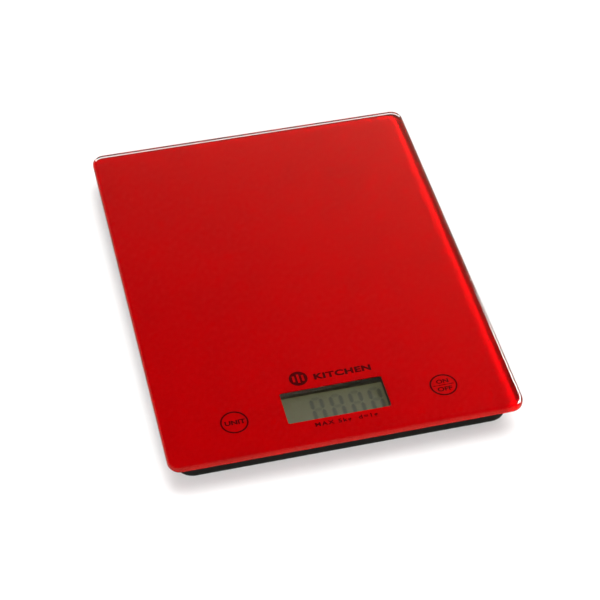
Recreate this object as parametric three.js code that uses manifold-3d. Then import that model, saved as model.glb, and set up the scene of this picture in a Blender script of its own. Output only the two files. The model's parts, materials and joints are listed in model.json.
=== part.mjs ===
// A slim glass-topped kitchen scale, as an assembly of its separate pieces.
//
// Millimetres, +Z up, +Y towards the back, +X to the right of a person reading the display.
// The origin is on the table, under the middle of the platform.
//
// The glass platform, its printed backing, the deck and the base are one rigid unit. It stands on four
// feet, and each foot presses up on the tongue of a strain-gauge load cell. The battery door tilts out
// of the underside.

import * as THREE from "three";
import { mergeVertices } from "three/addons/utils/BufferGeometryUtils.js";
import Module from "manifold-3d";

// ---------- driving dimensions ----------

const PLATFORM = { width: 155.5, depth: 201, thickness: 4, corner: 5.5, edgeRound: 1.25 };
const TOTAL_HEIGHT = 18;
const PRINT = { thickness: 0.25, setback: 1.5 };
const TAPE = { thickness: 0.5, width: 3.5, setback: 0.5, endGap: 7 };

const HOUSING_SETBACK = { side: 4.25, end: 6 }; // from the platform's edge to the base's wall
const BASE = { bottom: 1.5, rim: 13, wall: 1.75, floor: 1.75, corner: 8, edgeRound: 2.5 };
const DECK = { thickness: 1.5, clearance: 0.25, ribHeight: 2, ribWidth: 1.25 };
const DECK_RIBS = { x: 38, y: 15, length: 130, crossFront: -5, crossRear: 55 };
const BASE_RIBS = { x: 28, y: 38, length: 70, crossFront: 20, crossRear: 56, crossLength: 90 };
const BASE_RIB = { width: 1.25, top: 5.5 };
const JOIN = 0.5; // how far a rib, a post or a well is rooted in the floor it is moulded with

const WINDOW = { x: -0.75, y: -77.5, width: 45.5, depth: 17.5 };
const APERTURE_MARGIN = 0.25; // the deck's aperture is this much wider than the printed window, on each side
const COLLAR = { wall: 2, drop: 1.25 };
const KEYS = [
  { name: "unit", x: -45.75, y: -80 },
  { name: "power", x: 47, y: -80 },
];
const KEY_HOLE_RADIUS = 6.25;
const KEY_PAD = { radius: 5.5, thickness: 0.5 };
const KEY_SPRING = { radius: 2.75, wire: 0.3, turns: 4, endGap: 0.05 };

const LCD = { width: 50, depth: 22.5, sheet: 1.125, ledge: 2.5, recess: 4 };
const GASKET = 0.5;
const LCD_HOLDER = { clearance: 0.25, wall: 1.75, belowTop: 0.25 };
const ZEBRA = { length: 46, width: 1.75 };

const BOARD = { width: 101, depth: 28, thickness: 1.625, y: -77, bottom: 4.625 };
const BOARD_HOLES = { x: 36, front: -88, rear: -67, radius: 1.25 };
const BOARD_POST = { radius: 2.5, pilot: 0.95, pin: 1, pinStand: 0.75 };
const CONTROLLER = { x: 34, y: -78, radius: 5, height: 1.5 };

const FOOT = { x: 59.5, y: 81, travel: 0.5 };
const FOOT_PAD = { radius: 7.5, thickness: 1.25, chamfer: 0.4 };
const FOOT_CUP = { bottom: 0.75, radius: 9, shoulder: 2.375, stem: 6, snap: 6.7, boss: 2.5 };
const WELL = { radius: 9.5, ceiling: 3, roof: 4.5, outer: 11.2, hole: 6.4 };
const CELL = { width: 17, depth: 18, thickness: 1, bottom: 5.375, slot: 1.25, tongue: 6 };
const CELL_RAIL = { inner: 7, sideRoom: 0.25 };
const CLAMP = { width: 18, depth: 18, thickness: 1.25, openX: 11, openY: 12 };
const CLAMP_EAR = { length: 8, width: 7, hole: 1.25 };
const CLAMP_BOSS = { radius: 2.75, pilot: 0.95 };
const CLAMP_SCREW_OFFSET = 12.5; // from the load cell's middle, towards the middle of the scale

const BAY = { y: -20, width: 34, depth: 40, roof: 9.5, ceiling: 8.25, pocket: 10.75, notch: 4 };
const DOOR = {
  width: 26,
  depth: 32,
  thickness: 1.5,
  corner: 1.5,
  gap: 0.3,
  hookWidth: 5,
  hookX: 8,
  hookReach: 1.5,
};
const LATCH = { width: 8, length: 7, slit: 0.8, noseReach: 0.2, noseBottom: 0.9, noseBelowTop: 0.1 };
const NAIL_NOTCH = { radius: 4, beyond: 1, depth: 0.9 };
const HOOK_POCKET = { ahead: 3, behind: 3.2, side: 0.5, depth: 2.25 }; // about the door's front edge
const COIN_CELL = { radius: 10, canHeight: 2.625, height: 3.25, button: 9, bottom: 3.375 };
const STRIP = 0.3; // thickness of the battery's contact strips

const HOUSING_SCREWS = [-60, 0, 60].flatMap((y) => [-64, 64].map((x) => ({ x, y })));
const POST = { radius: 3, pilot: 1.15, padRadius: 4, padTop: 4.5 };
const SCREW_HOLE = { head: 2.75, headDepth: 1.5, through: 1.5 };
const LABEL = { x: 0, y: 38, width: 62, depth: 34, thickness: 0.125, recess: 0.25, margin: 0.5 };
const LEAD_RADIUS = { cell: 0.75, battery: 0.6 };

// Cross-head self-tapping screws: the head's radius and height, the shank's radius and length.
const BOARD_SCREW = { head: 1.9, height: 1.25, shank: 0.85, length: 2.5 };
const CLAMP_SCREW = { head: 2, height: 1.25, shank: 0.85, length: 4 };
const HOUSING_SCREW = { head: 2.4, height: 1.25, shank: 1.05, length: 7 };

// ---------- levels, worked out from the driving dimensions ----------

const GLASS_TOP = TOTAL_HEIGHT;
const GLASS_BOTTOM = GLASS_TOP - PLATFORM.thickness;
const PRINT_BOTTOM = GLASS_BOTTOM - PRINT.thickness;
const TAPE_BOTTOM = PRINT_BOTTOM - TAPE.thickness;
const DECK_BOTTOM = TAPE_BOTTOM - DECK.thickness;
const FLOOR_TOP = BASE.bottom + BASE.floor;
const LCD_TOP = GLASS_BOTTOM - LCD.recess;
const LCD_MIDDLE = LCD_TOP - LCD.sheet;
const LCD_BOTTOM = LCD_MIDDLE - LCD.sheet;
const BOARD_TOP = BOARD.bottom + BOARD.thickness;
const CELL_TOP = CELL.bottom + CELL.thickness;
const CLAMP_TOP = CELL_TOP + CLAMP.thickness;
const BASE_WIDTH = PLATFORM.width - 2 * HOUSING_SETBACK.side;
const BASE_DEPTH = PLATFORM.depth - 2 * HOUSING_SETBACK.end;
const CAVITY = { width: BASE_WIDTH - 2 * BASE.wall, depth: BASE_DEPTH - 2 * BASE.wall };
const DECK_SIZE = { width: CAVITY.width - 2 * DECK.clearance, depth: CAVITY.depth - 2 * DECK.clearance };

const CORNERS = [
  { name: "front_left", sx: -1, sy: -1 },
  { name: "front_right", sx: 1, sy: -1 },
  { name: "rear_left", sx: -1, sy: 1 },
  { name: "rear_right", sx: 1, sy: 1 },
];

// ---------- solids: joining and cutting ----------

const wasm = await Module();
wasm.setup();

function solidOf(geometry) {
  const bare = new THREE.BufferGeometry();
  bare.setAttribute("position", geometry.getAttribute("position").clone());
  if (geometry.index) bare.setIndex(geometry.index.clone());
  const merged = mergeVertices(bare, 1e-4);
  return new wasm.Manifold(
    new wasm.Mesh({
      numProp: 3,
      vertProperties: merged.attributes.position.array,
      triVerts: new Uint32Array(merged.index.array),
    }),
  );
}

function geometryOf(solid) {
  const mesh = solid.getMesh();
  const geometry = new THREE.BufferGeometry()
    .setAttribute("position", new THREE.BufferAttribute(mesh.vertProperties, 3))
    .setIndex(new THREE.BufferAttribute(mesh.triVerts, 1))
    .toNonIndexed();
  geometry.computeVertexNormals();
  return geometry;
}

// The first geometry, joined with the second list and then cut by the third.
function carve(base, joined, cutters) {
  let solid = solidOf(base);
  for (const g of joined) solid = solid.add(solidOf(g));
  for (const g of cutters) solid = solid.subtract(solidOf(g));
  return geometryOf(solid);
}

// ---------- simple shapes ----------

function roundedRectangle(width, depth, radius) {
  const x = width / 2;
  const y = depth / 2;
  const quarter = Math.PI / 2;
  return new THREE.Shape()
    .absarc(x - radius, y - radius, radius, 0, quarter)
    .absarc(radius - x, y - radius, radius, quarter, 2 * quarter)
    .absarc(radius - x, radius - y, radius, 2 * quarter, 3 * quarter)
    .absarc(x - radius, radius - y, radius, 3 * quarter, 4 * quarter);
}

function slab(shape, bottom, top, curveSegments = 4) {
  const settings = { depth: top - bottom, bevelEnabled: false, curveSegments };
  return new THREE.ExtrudeGeometry(shape, settings).translate(0, 0, bottom);
}

// A slab whose top and bottom edges are rounded over inside its outline.
function softSlab(shape, bottom, top, round, curveSegments = 4, bevelSegments = 3) {
  return new THREE.ExtrudeGeometry(shape, {
    depth: top - bottom - 2 * round,
    bevelThickness: round,
    bevelSize: round,
    bevelOffset: -round,
    bevelSegments,
    curveSegments,
  }).translate(0, 0, bottom + round);
}

// A box by its middle in plan and its bottom and top.
function block(x, y, width, depth, bottom, top) {
  return new THREE.BoxGeometry(width, depth, top - bottom).translate(x, y, (top + bottom) / 2);
}

// An upright cylinder by its middle in plan and its bottom and top.
function disc(x, y, radius, bottom, top, sides = 24) {
  return new THREE.CylinderGeometry(radius, radius, top - bottom, sides)
    .rotateX(Math.PI / 2)
    .translate(x, y, (top + bottom) / 2);
}

// A turned piece about Z, from [radius, height] points that run up the outside from axis to axis.
function turned(points, sides = 24) {
  const profile = points.map(([r, z]) => new THREE.Vector2(r, z));
  return new THREE.LatheGeometry(profile, sides).rotateX(Math.PI / 2);
}

// A rectangular ring by its outer and inner sizes.
function frame(x, y, outer, inner, bottom, top) {
  const cut = block(x, y, inner.width, inner.depth, bottom - 1, top + 1);
  return carve(block(x, y, outer.width, outer.depth, bottom, top), [], [cut]);
}

// A round wire or lead along a smooth curve through points.
function strand(points, radius, steps, sides = 8) {
  const outline = new THREE.Shape().absarc(0, 0, radius, 0, 2 * Math.PI);
  const path = new THREE.CatmullRomCurve3(points.map((p) => new THREE.Vector3(...p)));
  return new THREE.ExtrudeGeometry(outline, { steps, extrudePath: path, curveSegments: sides / 2 });
}

// A self-tapping screw about Z, its head's face down at z = 0 and its point up.
function screwGeometry({ head: headRadius, height: headHeight, shank: shankRadius, length }) {
  const point = 1;
  const body = turned(
    [
      [0, 0],
      [headRadius * 0.75, 0],
      [headRadius, headHeight * 0.5],
      [headRadius, headHeight],
      [shankRadius, headHeight],
      [shankRadius, headHeight + length - point],
      [0, headHeight + length],
    ],
    12,
  );
  const arm = headRadius * 1.1;
  const slot = headRadius * 0.22;
  const depth = headHeight * 0.6;
  const cross = [block(0, 0, arm, slot, -1, depth), block(0, 0, slot, arm, -1, depth)];
  return carve(body, [], cross);
}

// ---------- materials ----------

const surface = (color, roughness, metalness = 0) =>
  new THREE.MeshStandardMaterial({ color, roughness, metalness });

const MATERIALS = {
  glass: new THREE.MeshStandardMaterial({
    color: 0xeef6f2,
    roughness: 0.03,
    metalness: 0,
    transparent: true,
    opacity: 0.3,
  }),
  print: surface(0xb8060a, 0.25),
  tape: surface(0x1b1b1c, 0.9),
  plastic: surface(0x17171a, 0.5),
  lcd: surface(0x6e7258, 0.25),
  foam: surface(0x2a2a2c, 0.95),
  zebra: surface(0xb9a6a0, 0.7),
  board: surface(0x1f5a34, 0.45),
  resin: surface(0x0c0c0c, 0.25),
  contact: surface(0xc9c6be, 0.3, 1),
  copper: surface(0xb9733f, 0.35, 1),
  steel: surface(0x9da1a4, 0.35, 1),
  rubber: surface(0x2c2c2e, 0.85),
  label: surface(0xd6d7d4, 0.55),
  redLead: surface(0xa81816, 0.5),
  blackLead: surface(0x18181a, 0.5),
  whiteLead: surface(0xd8d6cf, 0.5),
};

function piece(name, geometry, material, at = [0, 0, 0]) {
  const mesh = new THREE.Mesh(geometry, material);
  mesh.name = name;
  mesh.position.set(...at);
  return mesh;
}

// ---------- platform: glass, printed backing, adhesive tape ----------

function makePlatform() {
  const group = new THREE.Group();
  const { width, depth, corner, edgeRound } = PLATFORM;
  const glass = softSlab(roundedRectangle(width, depth, corner), GLASS_BOTTOM, GLASS_TOP, edgeRound, 8, 5);

  const inset = PRINT.setback;
  const outline = roundedRectangle(width - 2 * inset, depth - 2 * inset, corner - inset);
  const window = block(WINDOW.x, WINDOW.y, WINDOW.width, WINDOW.depth, PRINT_BOTTOM - 1, GLASS_TOP);
  const print = carve(slab(outline, PRINT_BOTTOM, GLASS_BOTTOM, 8), [], [window]);

  group.add(piece("glass_platform", glass, MATERIALS.glass));
  group.add(piece("printed_backing", print, MATERIALS.print));

  const alongX = DECK_SIZE.width - 2 * TAPE.endGap;
  const alongY = DECK_SIZE.depth - 2 * TAPE.endGap;
  const offX = DECK_SIZE.width / 2 - TAPE.setback - TAPE.width / 2;
  const offY = DECK_SIZE.depth / 2 - TAPE.setback - TAPE.width / 2;
  const strips = [
    ["front", 0, -offY, alongX, TAPE.width],
    ["rear", 0, offY, alongX, TAPE.width],
    ["left", -offX, 0, TAPE.width, alongY],
    ["right", offX, 0, TAPE.width, alongY],
  ];
  for (const [side, x, y, w, d] of strips)
    group.add(piece(`tape_${side}`, block(x, y, w, d, TAPE_BOTTOM, PRINT_BOTTOM), MATERIALS.tape));
  return group;
}

// ---------- deck: the upper shell that the glass is taped to ----------

function makeDeck() {
  const { width, depth } = DECK_SIZE;
  const plate = slab(roundedRectangle(width, depth, BASE.corner - BASE.wall), DECK_BOTTOM, TAPE_BOTTOM);
  const aperture = {
    width: WINDOW.width + 2 * APERTURE_MARGIN,
    depth: WINDOW.depth + 2 * APERTURE_MARGIN,
  };
  const collarBottom = DECK_BOTTOM - COLLAR.drop;
  const collar = block(
    WINDOW.x,
    WINDOW.y,
    aperture.width + 2 * COLLAR.wall,
    aperture.depth + 2 * COLLAR.wall,
    collarBottom,
    DECK_BOTTOM,
  );
  const posts = HOUSING_SCREWS.map((at) => disc(at.x, at.y, POST.radius, POST.padTop, DECK_BOTTOM, 16));
  const ribBottom = DECK_BOTTOM - DECK.ribHeight;
  const { x, y, length, crossFront, crossRear } = DECK_RIBS;
  const ribs = [
    block(-x, y, DECK.ribWidth, length, ribBottom, DECK_BOTTOM),
    block(x, y, DECK.ribWidth, length, ribBottom, DECK_BOTTOM),
    block(0, crossFront, 2 * x, DECK.ribWidth, ribBottom, DECK_BOTTOM),
    block(0, crossRear, 2 * x, DECK.ribWidth, ribBottom, DECK_BOTTOM),
  ];
  const cuts = [
    block(WINDOW.x, WINDOW.y, aperture.width, aperture.depth, collarBottom - 1, GLASS_TOP),
    ...KEYS.map((key) => disc(key.x, key.y, KEY_HOLE_RADIUS, DECK_BOTTOM - 1, GLASS_TOP)),
    ...HOUSING_SCREWS.map((at) => disc(at.x, at.y, POST.pilot, POST.padTop - 1, DECK_BOTTOM - 1, 12)),
  ];
  return piece("top_deck", carve(plate, [collar, ...posts, ...ribs], cuts), MATERIALS.plastic);
}

// ---------- base: the lower shell ----------

// What the base needs round one foot: a raised well, two rails for the load cell and a screw boss.
function footWell({ sx, sy }) {
  const x = sx * FOOT.x;
  const y = sy * FOOT.y;
  const railWidth = CELL.width / 2 + CELL_RAIL.sideRoom - CELL_RAIL.inner;
  const railX = CELL_RAIL.inner + railWidth / 2;
  const bossY = y - sy * CLAMP_SCREW_OFFSET;
  return {
    joined: [
      disc(x, y, WELL.outer, FLOOR_TOP - JOIN, WELL.roof),
      block(x - railX, y, railWidth, CELL.depth, FLOOR_TOP - JOIN, CELL.bottom),
      block(x + railX, y, railWidth, CELL.depth, FLOOR_TOP - JOIN, CELL.bottom),
      disc(x, bossY, CLAMP_BOSS.radius, FLOOR_TOP - JOIN, CELL_TOP, 16),
    ],
    cuts: [
      disc(x, y, WELL.radius, BASE.bottom - 1, WELL.ceiling, 32),
      disc(x, y, WELL.hole, BASE.bottom - 1, WELL.roof + 1, 32),
      disc(x, bossY, CLAMP_BOSS.pilot, FLOOR_TOP, CELL_TOP + 1, 12),
    ],
  };
}

// The battery bay: a solid block on the floor with a round pocket open to the underside.
function batteryBay() {
  const { y, width, depth, roof, ceiling, pocket, notch } = BAY;
  const doorFront = y - DOOR.depth / 2;
  const doorRear = y + DOOR.depth / 2;
  const doorTop = BASE.bottom + DOOR.thickness;
  const recess = slab(
    roundedRectangle(DOOR.width + 2 * DOOR.gap, DOOR.depth + 2 * DOOR.gap, DOOR.corner + DOOR.gap),
    BASE.bottom - 1,
    doorTop,
  ).translate(0, y, 0);
  const hookPockets = [-1, 1].map((side) =>
    block(
      side * DOOR.hookX,
      doorFront + (HOOK_POCKET.behind - HOOK_POCKET.ahead) / 2,
      DOOR.hookWidth + 2 * HOOK_POCKET.side,
      HOOK_POCKET.ahead + HOOK_POCKET.behind,
      doorTop - 0.01,
      doorTop + HOOK_POCKET.depth,
    ),
  );
  const { radius, beyond } = NAIL_NOTCH;
  const nailNotch = disc(0, doorRear + beyond, radius, BASE.bottom - 1, BASE.bottom + NAIL_NOTCH.depth, 20);
  return {
    joined: [block(0, y, width, depth, FLOOR_TOP - JOIN, roof)],
    cuts: [
      recess,
      disc(0, y, pocket, BASE.bottom - 1, ceiling, 40),
      block(0, y + pocket, 2 * notch, 2 * notch, BASE.bottom - 1, ceiling),
      ...hookPockets,
      nailNotch,
    ],
  };
}

function makeBase() {
  const outline = roundedRectangle(BASE_WIDTH, BASE_DEPTH, BASE.corner);
  const above = BASE.rim + BASE.edgeRound + 1;
  const outside = softSlab(outline, BASE.bottom, above, BASE.edgeRound, 10, 4);
  const cavity = slab(
    roundedRectangle(CAVITY.width, CAVITY.depth, BASE.corner - BASE.wall),
    FLOOR_TOP,
    above + 1,
  );
  const excess = block(0, 0, PLATFORM.width, PLATFORM.depth, BASE.rim, above + 1);
  const shell = carve(outside, [], [cavity, excess]);

  const wells = CORNERS.map(footWell);
  const bay = batteryBay();
  const root = FLOOR_TOP - JOIN;
  const screwPads = HOUSING_SCREWS.map(({ x, y }) => disc(x, y, POST.padRadius, root, POST.padTop, 16));
  const { x: holeX, front, rear } = BOARD_HOLES;
  const { radius: post, pilot, pin, pinStand } = BOARD_POST;
  const boardPosts = [-1, 1].flatMap((side) => [
    disc(side * holeX, rear, post, root, BOARD.bottom, 16),
    disc(side * holeX, front, post, root, BOARD.bottom, 16),
    disc(side * holeX, front, pin, root, BOARD_TOP + pinStand, 16),
  ]);
  const { x: ribX, y: ribY, length, crossFront, crossRear, crossLength } = BASE_RIBS;
  const { width, top } = BASE_RIB;
  const ribs = [
    block(-ribX, ribY, width, length, root, top),
    block(ribX, ribY, width, length, root, top),
    block(0, crossFront, crossLength, width, root, top),
    block(0, crossRear, crossLength, width, root, top),
  ];
  const joined = [...wells.flatMap((w) => w.joined), ...bay.joined, ...screwPads, ...boardPosts, ...ribs];
  const headCeiling = BASE.bottom + SCREW_HOLE.headDepth;
  const labelWidth = LABEL.width + 2 * LABEL.margin;
  const labelDepth = LABEL.depth + 2 * LABEL.margin;
  const labelCeiling = BASE.bottom + LABEL.recess;
  const labelRecess = block(LABEL.x, LABEL.y, labelWidth, labelDepth, BASE.bottom - 1, labelCeiling);
  const cuts = [
    ...wells.flatMap((w) => w.cuts),
    ...bay.cuts,
    ...HOUSING_SCREWS.flatMap(({ x, y }) => [
      disc(x, y, SCREW_HOLE.head, BASE.bottom - 1, headCeiling, 16),
      disc(x, y, SCREW_HOLE.through, BASE.bottom - 1, POST.padTop + 1, 12),
    ]),
    ...[-1, 1].map((side) => disc(side * holeX, rear, pilot, FLOOR_TOP - JOIN / 2, BOARD.bottom + 1, 12)),
    labelRecess,
  ];
  return piece("base_shell", carve(shell, joined, cuts), MATERIALS.plastic);
}

function makeLabel() {
  const top = BASE.bottom + LABEL.recess;
  const outline = roundedRectangle(LABEL.width, LABEL.depth, 2);
  const sheet = slab(outline, top - LABEL.thickness, top, 2).translate(LABEL.x, LABEL.y, 0);
  return piece("rating_label", sheet, MATERIALS.label);
}

// ---------- display ----------

function makeDisplay() {
  const group = new THREE.Group();
  group.position.set(WINDOW.x, WINDOW.y, 0);
  const rear = LCD.depth - 2 * LCD.ledge;
  const grow = ({ width, depth }, by) => ({ width: width + 2 * by, depth: depth + 2 * by });
  const inside = grow(LCD, LCD_HOLDER.clearance);
  const outside = grow(inside, LCD_HOLDER.wall);
  const opening = {
    width: WINDOW.width + 2 * APERTURE_MARGIN,
    depth: WINDOW.depth + 2 * APERTURE_MARGIN,
  };
  const holder = frame(0, 0, outside, inside, BOARD_TOP, LCD_TOP - LCD_HOLDER.belowTop);
  const gasket = frame(0, 0, LCD, opening, LCD_TOP, LCD_TOP + GASKET);
  const front = block(0, 0, LCD.width, LCD.depth, LCD_MIDDLE, LCD_TOP);
  const back = block(0, 0, LCD.width, rear, LCD_BOTTOM, LCD_MIDDLE);
  group.add(piece("lcd_front_glass", front, MATERIALS.lcd));
  group.add(piece("lcd_rear_glass", back, MATERIALS.lcd));
  group.add(piece("lcd_holder", holder, MATERIALS.plastic));
  group.add(piece("lcd_gasket", gasket, MATERIALS.foam));
  const zebraY = rear / 2 + LCD.ledge / 2 + 0.125;
  for (const [side, y] of [["front", -zebraY], ["rear", zebraY]]) {
    const strip = block(0, y, ZEBRA.length, ZEBRA.width, BOARD_TOP, LCD_MIDDLE);
    group.add(piece(`zebra_strip_${side}`, strip, MATERIALS.zebra));
  }
  return group;
}

// ---------- electronics ----------

function makeBoard() {
  const group = new THREE.Group();
  const plate = block(0, BOARD.y, BOARD.width, BOARD.depth, BOARD.bottom, BOARD_TOP);
  const holes = [-1, 1].flatMap((side) =>
    [BOARD_HOLES.front, BOARD_HOLES.rear].map((y) =>
      disc(side * BOARD_HOLES.x, y, BOARD_HOLES.radius, BOARD.bottom - 1, BOARD_TOP + 1, 16),
    ),
  );
  group.add(piece("main_board", carve(plate, [], holes), MATERIALS.board));

  const { radius, height } = CONTROLLER;
  const dome = [[0, 0]];
  const steps = 5;
  for (let i = 0; i <= steps; i++) {
    const angle = (i / steps) * (Math.PI / 2);
    dome.push([i === steps ? 0 : radius * Math.cos(angle), height * Math.sin(angle)]);
  }
  const blob = turned(dome, 20);
  group.add(piece("controller_chip", blob, MATERIALS.resin, [CONTROLLER.x, CONTROLLER.y, BOARD_TOP]));

  const screw = screwGeometry(BOARD_SCREW);
  [-1, 1].forEach((side, i) => {
    const mesh = piece(`board_screw_${i + 1}`, screw, MATERIALS.steel);
    mesh.rotation.x = Math.PI;
    mesh.position.set(side * BOARD_HOLES.x, BOARD_HOLES.rear, BOARD_TOP + BOARD_SCREW.height);
    group.add(mesh);
  });
  return group;
}

// A touch key: a conductive pad under the print, and a coil spring that joins it to the board.
function makeKey({ name, x, y }) {
  const group = new THREE.Group();
  group.position.set(x, y, 0);
  const pad = disc(0, 0, KEY_PAD.radius, PRINT_BOTTOM - KEY_PAD.thickness, PRINT_BOTTOM, 24);
  const low = BOARD_TOP + KEY_SPRING.wire + KEY_SPRING.endGap;
  const high = PRINT_BOTTOM - KEY_PAD.thickness - KEY_SPRING.wire - KEY_SPRING.endGap;
  const points = [];
  const perTurn = 10;
  const count = KEY_SPRING.turns * perTurn;
  for (let i = 0; i <= count; i++) {
    const angle = (2 * Math.PI * i) / perTurn;
    const share = i / count;
    points.push([
      KEY_SPRING.radius * Math.cos(angle),
      KEY_SPRING.radius * Math.sin(angle),
      low + (high - low) * share,
    ]);
  }
  group.add(piece(`key_pad_${name}`, pad, MATERIALS.copper));
  group.add(piece(`key_spring_${name}`, strand(points, KEY_SPRING.wire, count, 4), MATERIALS.contact));
  return group;
}

// ---------- battery ----------

// The door lies flush in its recess. Two hooks at its front edge reach over the base's floor, and a
// springy latch at its rear edge closes against the recess, where a notch lets a fingernail in.
function makeDoor() {
  const front = BAY.y - DOOR.depth / 2;
  const rear = BAY.y + DOOR.depth / 2;
  const top = BASE.bottom + DOOR.thickness;
  const outline = roundedRectangle(DOOR.width, DOOR.depth, DOOR.corner);
  const plate = slab(outline, BASE.bottom, top).translate(0, BAY.y, 0);
  const hooks = [-1, 1].flatMap((side) => [
    block(side * DOOR.hookX, front + 0.75, DOOR.hookWidth, 1.5, top - 0.5, top + 1),
    block(side * DOOR.hookX, front - 0.25, DOOR.hookWidth, 2.5, top + 0.125, top + 1),
  ]);
  const { width, length, slit, noseReach, noseBottom, noseBelowTop } = LATCH;
  const nose = block(0, rear, width - 1, 2 * noseReach, BASE.bottom + noseBottom, top - noseBelowTop);
  const slits = [-1, 1].map((side) =>
    block((side * (width + slit)) / 2, rear - length / 2, slit, length, BASE.bottom - 1, top + 1),
  );
  const grip = [0, 1, 2].map((i) =>
    block(0, rear - 1.5 - 1.4 * i, width - 2, 0.6, BASE.bottom - 1, BASE.bottom + 0.3),
  );
  return piece("battery_door", carve(plate, [...hooks, nose], [...slits, ...grip]), MATERIALS.plastic);
}

function makeBattery() {
  const group = new THREE.Group();
  const { radius, canHeight, height, button, bottom } = COIN_CELL;
  const cell = turned(
    [
      [0, 0],
      [radius - 0.3, 0],
      [radius, 0.3],
      [radius, canHeight],
      [radius - 0.4, canHeight + 0.25],
      [button, canHeight + 0.25],
      [button - 0.3, height],
      [0, height],
    ],
    40,
  );
  group.add(piece("coin_cell", cell, MATERIALS.steel, [0, BAY.y, bottom]));

  // Negative strip: fixed to the bay's ceiling, with a finger sprung down onto the cell.
  const fixed = BAY.ceiling - STRIP;
  const touch = bottom + height + 0.05;
  const finger = new THREE.Shape()
    .moveTo(-8, fixed)
    .lineTo(-8, BAY.ceiling)
    .lineTo(-2, BAY.ceiling)
    .lineTo(4, touch + STRIP)
    .lineTo(6, touch + STRIP)
    .lineTo(6, touch)
    .lineTo(3.9, touch)
    .lineTo(-2.1, fixed);
  const fingerWidth = 5;
  const negative = new THREE.ExtrudeGeometry(finger, { depth: fingerWidth, bevelEnabled: false })
    .rotateX(Math.PI / 2)
    .translate(0, BAY.y + fingerWidth / 2, 0);
  group.add(piece("battery_contact_negative", negative, MATERIALS.contact));

  // Positive strip: hangs from the ceiling beside the cell and bears on its rim.
  const side = radius + 0.1;
  const hanger = new THREE.Shape()
    .moveTo(side, bottom + 0.25)
    .lineTo(side + STRIP, bottom + 0.25)
    .lineTo(side + STRIP, BAY.ceiling)
    .lineTo(side - 2, BAY.ceiling)
    .lineTo(side - 2, fixed)
    .lineTo(side, fixed);
  const hangerWidth = 4;
  const positive = new THREE.ExtrudeGeometry(hanger, { depth: hangerWidth, bevelEnabled: false })
    .rotateX(Math.PI / 2)
    .translate(0, BAY.y + hangerWidth / 2, 0);
  group.add(piece("battery_contact_positive", positive, MATERIALS.contact));
  return group;
}

// ---------- load cells and feet ----------

// One steel plate: an outer frame that rests on the base's rails, and a tongue that the foot presses.
function cellGeometry(sy) {
  const half = CELL.tongue / 2 + CELL.slot;
  const reach = CELL.depth / 2 - 3;
  const root = -sy * reach;
  const tip = sy * reach;
  const slotTip = tip - sy * CELL.slot;
  const cut = (x0, x1, y0, y1) =>
    block((x0 + x1) / 2, (y0 + y1) / 2, x1 - x0, Math.abs(y1 - y0), CELL.bottom - 1, CELL_TOP + 1);
  const slots = [
    cut(-half, -CELL.tongue / 2, root, tip),
    cut(CELL.tongue / 2, half, root, tip),
    cut(-half, half, slotTip, tip),
  ];
  return carve(block(0, 0, CELL.width, CELL.depth, CELL.bottom, CELL_TOP), [], slots);
}

// The plastic frame that holds a load cell down, with an ear for its screw.
function clampGeometry(sy) {
  const earY = -sy * (CLAMP.depth / 2 + CLAMP_EAR.length / 2 - 0.5);
  const ear = block(0, earY, CLAMP_EAR.width, CLAMP_EAR.length, CELL_TOP, CLAMP_TOP);
  const cuts = [
    block(0, 0, CLAMP.openX, CLAMP.openY, CELL_TOP - 1, CLAMP_TOP + 1),
    disc(0, -sy * CLAMP_SCREW_OFFSET, CLAMP_EAR.hole, CELL_TOP - 1, CLAMP_TOP + 1, 16),
  ];
  return carve(block(0, 0, CLAMP.width, CLAMP.depth, CELL_TOP, CLAMP_TOP), [ear], cuts);
}

const CUP_GEOMETRY = turned([
  [0, FOOT_PAD.thickness],
  [FOOT_PAD.radius + 0.1, FOOT_PAD.thickness],
  [FOOT_PAD.radius + 0.1, FOOT_CUP.bottom],
  [FOOT_CUP.radius - 0.3, FOOT_CUP.bottom],
  [FOOT_CUP.radius, FOOT_CUP.bottom + 0.3],
  [FOOT_CUP.radius, FOOT_CUP.shoulder],
  [FOOT_CUP.stem, FOOT_CUP.shoulder],
  [FOOT_CUP.stem, WELL.roof + 0.1],
  [FOOT_CUP.snap, WELL.roof + 0.1],
  [FOOT_CUP.snap - 0.2, CELL.bottom - FOOT.travel - 0.025],
  [FOOT_CUP.boss, CELL.bottom - FOOT.travel - 0.025],
  [FOOT_CUP.boss, CELL.bottom],
  [0, CELL.bottom],
]);

const PAD_GEOMETRY = turned([
  [0, 0],
  [FOOT_PAD.radius - FOOT_PAD.chamfer, 0],
  [FOOT_PAD.radius, FOOT_PAD.chamfer],
  [FOOT_PAD.radius, FOOT_PAD.thickness],
  [0, FOOT_PAD.thickness],
]);

const CLAMP_SCREW_GEOMETRY = screwGeometry(CLAMP_SCREW);

function makeCorner({ name, sx, sy }) {
  const group = new THREE.Group();
  group.position.set(sx * FOOT.x, sy * FOOT.y, 0);
  group.add(piece(`load_cell_${name}`, cellGeometry(sy), MATERIALS.steel));
  group.add(piece(`cell_clamp_${name}`, clampGeometry(sy), MATERIALS.plastic));
  const screw = piece(`clamp_screw_${name}`, CLAMP_SCREW_GEOMETRY, MATERIALS.steel);
  screw.rotation.x = Math.PI;
  screw.position.set(0, -sy * CLAMP_SCREW_OFFSET, CLAMP_TOP + CLAMP_SCREW.height);
  group.add(screw);
  group.add(piece(`foot_cup_${name}`, CUP_GEOMETRY, MATERIALS.plastic));
  group.add(piece(`foot_pad_${name}`, PAD_GEOMETRY, MATERIALS.rubber));
  return group;
}

// ---------- leads ----------

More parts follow.
